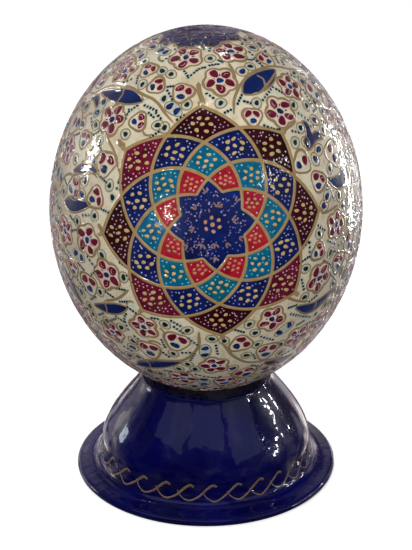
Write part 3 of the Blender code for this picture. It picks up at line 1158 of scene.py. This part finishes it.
# ---- floor, light and camera
def floor():
    """A wide pale floor just below the foot, which fades into the pale surround."""
    reach, level = 4.0, -0.4 * MM
    corners = [(x * reach, y * reach, level) for x, y in ((-1, -1), (1, -1), (1, 1), (-1, 1))]
    material, graph, shader = new_material("pale_floor_paint")
    tone = graph.ramp(graph.noise(60.0), (0.3, (244, 244, 244)), (0.7, (250, 250, 250)))
    graph.links.new(tone, shader.inputs["Base Color"])
    shader.inputs["Roughness"].default_value = 0.9
    shader.inputs["Specular IOR Level"].default_value = 0.1
    shader.inputs["Emission Color"].default_value = (1.0, 1.0, 1.0, 1.0)
    shader.inputs["Emission Strength"].default_value = 0.75
    plane = show("pale_floor", corners, [(0, 1, 2, 3)], material)
    plane.visible_glossy = False
    plane.visible_diffuse = False


WHITE = (1.0, 1.0, 1.0)
WARM = (1.0, 0.985, 0.96)
COOL = (0.98, 0.98, 1.0)
SKY_BLUE = (0.72, 0.82, 1.0)
PALE_BLUE = (0.8, 0.88, 1.0)
ROOM_FRONT = 0.20    # how bright the room is in front of the egg
ROOM_BACK = 2.3      # and how much brighter behind it
EGG_AIM = (0.0, 0.0, EGG_MIDDLE)
STAND_AIM = (0.0, 0.0, 0.03)
PANEL_DISTANCE = 0.9    # in metres, of each large panel that the stand reflects
CAMERA_PLACE = (0.0, -0.6854, 0.3885)
CAMERA_DIP = 23.55    # degrees below level
CAMERA_LENS = 115.4


def lit_pieces(name, slot_name):
    """The pieces of one slot, as a collection that a light can be limited to."""
    group = bpy.data.collections.new(name)
    for piece in bpy.context.scene.objects:
        if piece.get("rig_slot") == slot_name:
            group.objects.link(piece)
    return group


def area_light(name, place, aim, width, height, power, colour=WHITE, seen=True, only=None):
    """A rectangular light. A seen one shows as a highlight in the varnish and lights nothing
    else; one that is not seen gives the soft light."""
    lamp = bpy.data.lights.new(name, "AREA")
    lamp.shape = "RECTANGLE"
    lamp.size, lamp.size_y = width, height
    lamp.energy = power
    lamp.color = colour
    light = bpy.data.objects.new(name, lamp)
    light.location = place
    light.rotation_euler = (Vector(aim) - Vector(place)).to_track_quat("-Z", "Y").to_euler()
    light.visible_glossy = seen
    light.visible_diffuse = not seen
    if only:
        light.light_linking.receiver_collection = only
    bpy.context.scene.collection.objects.link(light)


def surround():
    """A pale backdrop for the camera; for light and reflections a dim room, brighter behind.

    What stands in front of the egg is dark, so its varnish stays clear. What stands behind it
    is bright, and shows only along the rims."""
    world = bpy.data.worlds.new("studio")
    world.use_nodes = True
    bpy.context.scene.world = world
    graph = Graph(world.node_tree, "Generated")
    split = graph.new("SeparateXYZ", {"Vector": graph.place})
    cloud = graph.new("TexNoise", {"Vector": graph.place, "Scale": 3.2, "Detail": 3.0})
    tone = graph.ramp(cloud.outputs["Fac"], (0.44, (52, 44, 50)), (0.49, (122, 116, 128)),
                      (0.60, (150, 142, 144)), (0.66, (236, 230, 222)))
    smooth = {"interpolation_type": "SMOOTHSTEP"}
    behind = graph.spread(split.outputs["Y"], 0.0, ROOM_BACK, -0.1, 0.9, **smooth)
    low = graph.spread(split.outputs["Z"], 1.0, 0.08, 0.25, 0.7, **smooth)
    brightness = graph.new("Math", {0: behind, 1: low, 2: ROOM_FRONT}, operation="MULTIPLY_ADD")
    room = graph.nodes["Background"]
    graph.links.new(tone, room.inputs["Color"])
    graph.links.new(brightness.outputs["Value"], room.inputs["Strength"])
    white = graph.new("Background", {"Color": (1.0, 1.0, 1.0, 1.0), "Strength": 1.0})
    seen = graph.new("LightPath", {}).outputs["Is Camera Ray"]
    choose = graph.new("MixShader", {"Fac": seen, 1: room.outputs[0], 2: white.outputs[0]})
    graph.links.new(choose.outputs["Shader"], graph.nodes["World Output"].inputs["Surface"])


def camera():
    lens = bpy.data.cameras.new("camera")
    lens.sensor_width = 36.0
    lens.lens = CAMERA_LENS
    eye_point = bpy.data.objects.new("camera", lens)
    eye_point.location = CAMERA_PLACE
    eye_point.rotation_euler = (radians(90 - CAMERA_DIP), 0.0, 0.0)
    bpy.context.scene.collection.objects.link(eye_point)
    bpy.context.scene.camera = eye_point


floor()
surround()
on_shell = lit_pieces("lit_shell", "painted_shell")
on_stand = lit_pieces("lit_stand", "lacquered_stand")
area_light("soft_key", (-0.35, -0.80, 1.05), EGG_AIM, 0.9, 0.7, 7.0, WARM, seen=False)
area_light("soft_fill", (0.75, -0.55, 0.45), EGG_AIM, 0.8, 0.8, 1.1, COOL, seen=False)
area_light("overhead", (0.0, 0.25, 1.1), EGG_AIM, 0.8, 0.5, 3.0, seen=False)
area_light("floor_bounce", (0.0, -0.60, 0.20), EGG_AIM, 0.9, 0.10, 2.1, seen=False, only=on_shell)
area_light("left_window", (-0.62, 0.11, 0.26), EGG_AIM, 0.035, 0.18, 1.6, only=on_shell)
area_light("right_window", (0.62, 0.44, 0.07), EGG_AIM, 0.05, 0.44, 3.8, only=on_shell)
FRONT_LAMPS = (("a", -0.35, 0.14), ("b", -0.30, 0.21), ("c", -0.25, 0.15), ("d", -0.32, 0.28))
for name, x, z in FRONT_LAMPS:
    area_light("front_lamp_" + name, (x, -0.61, z), EGG_AIM, 0.010, 0.018, 0.18, only=on_shell)
CEILING_LAMPS = ((-0.31, 0.41, 0.50), (-0.20, 0.40, 0.58), (-0.03, 0.37, 0.65), (-0.40, 0.30, 0.46),
                 (0.10, 0.30, 0.70), (0.0, -0.20, 0.76), (0.42, -0.10, 0.62))
for k, place in enumerate(CEILING_LAMPS):
    area_light(f"ceiling_lamp_{k}", place, EGG_AIM, 0.02, 0.02, 0.16, only=on_shell)
# Three wide panels that the stand reflects: (azimuth, height, width).
for k, (azimuth, height, width) in enumerate(((-50, 43, 0.58), (1, 48, 0.60), (52, 32, 0.58))):
    place = Vector(direction(azimuth, height)) * PANEL_DISTANCE + Vector(STAND_AIM)
    area_light(f"stand_wall_{k}", place, STAND_AIM, width, 0.40, 0.44 * width, SKY_BLUE, only=on_stand)
area_light("stand_window", (-0.69, 0.20, 0.12), EGG_AIM, 0.10, 0.12, 0.22, PALE_BLUE, only=on_stand)
# Small lamps on the right, which glint in the stand or in the shell: how many, between which
# azimuths, how far away, between which heights in metres, and each one's size and power.
for kind, count, azimuths, away, heights, aim, size, power, only in (
        ("shop", 20, (72, 116), 0.68, (0.10, 0.38), STAND_AIM, 0.014, 0.06, on_stand),
        ("far", 7, (40, 70), 0.7, (0.24, 0.60), EGG_AIM, 0.012, 0.05, on_shell)):
    for k in range(count):
        a = radians(vary(*azimuths))
        place = (away * sin(a), -away * cos(a), vary(*heights))
        area_light(f"{kind}_lamp_{k}", place, aim, size, size, power, only=only)
camera()
bpy.context.scene.view_settings.view_transform = "Standard"
